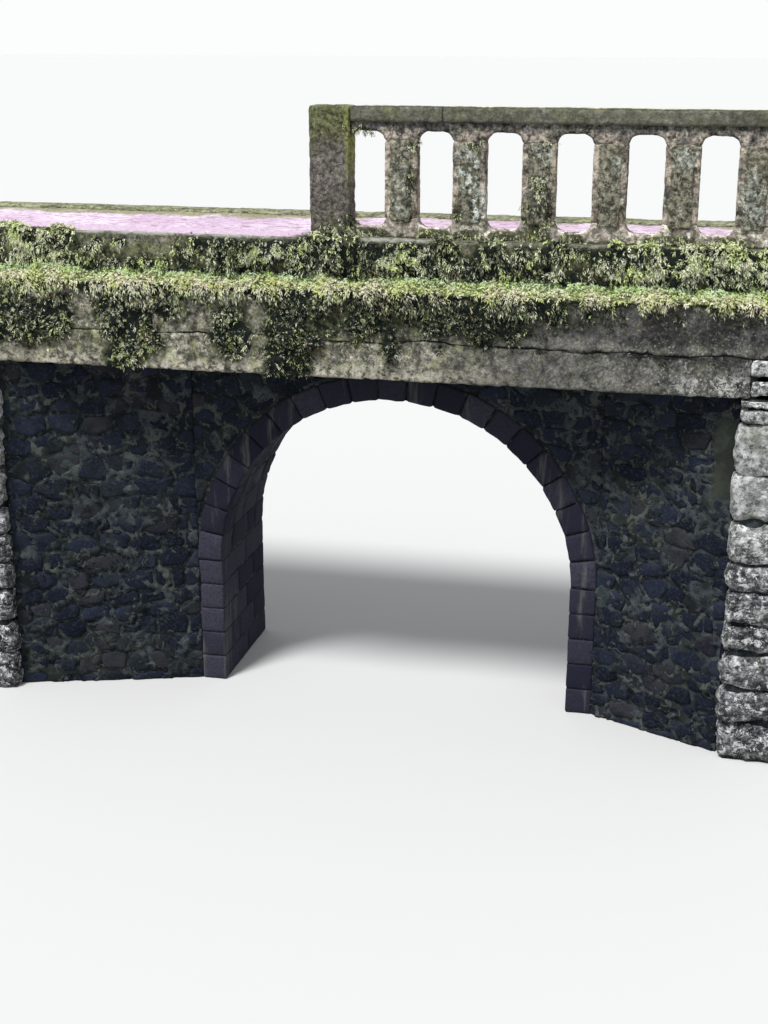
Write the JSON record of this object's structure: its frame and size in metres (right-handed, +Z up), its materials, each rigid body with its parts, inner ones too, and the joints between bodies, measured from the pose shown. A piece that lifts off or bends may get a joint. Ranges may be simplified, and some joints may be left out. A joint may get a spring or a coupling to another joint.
{
  "type": "stone arch footbridge",
  "caption": "Small stone arch footbridge with a concrete edge beam, mossy ledge and plinth, and a pierced concrete balustrade along its right part.",
  "frame": {"origin": "middle of the bridge's footprint, at the level of the lowest ground that its walls meet", "axes": "+X runs along the bridge towards the end that has the balustrade, +Y runs across it from the balustrade side to the far side, +Z is up"},
  "size_m": [6.425, 1.63, 4.242],
  "materials": {
    "rubble": "rough rubble with smeared lime mortar",
    "dressed_stone": "roughly dressed arch stones",
    "pillar_stone": "rock-faced squared blocks with lichen",
    "concrete": "weathered cast concrete with algae and lichen",
    "mossy_concrete": "cast concrete under a coat of moss",
    "deck_grit": "trodden grit"
  },
  "bodies": {
    "root": {"abutment_left": "rubble", "abutment_right": "rubble", "arch_pier_left": "dressed_stone", "arch_pier_right": "dressed_stone", "arch_ring_near": "dressed_stone", "arch_ring_far": "dressed_stone", "arch_barrel": "dressed_stone", "headwall_near": "rubble", "headwall_far": "rubble", "arch_fill": "rubble", "wing_wall_left": "rubble", "wing_wall_right": "rubble", "pillar_left": "pillar_stone", "pillar_right": "pillar_stone", "edge_beam_lower": "concrete", "edge_beam_upper": "mossy_concrete", "kerb_left": "mossy_concrete", "plinth": "mossy_concrete", "end_post_left": "concrete", "end_post_right": "concrete", "baluster_1": "concrete", "baluster_2": "concrete", "baluster_3": "concrete", "baluster_4": "concrete", "baluster_5": "concrete", "baluster_6": "concrete", "foot_band": "concrete", "header_band": "concrete", "top_rail": "concrete", "deck_bed": "rubble", "deck_surface": "deck_grit", "far_edge_beam": "concrete", "far_kerb": "mossy_concrete"}
  },
  "joints": []
}
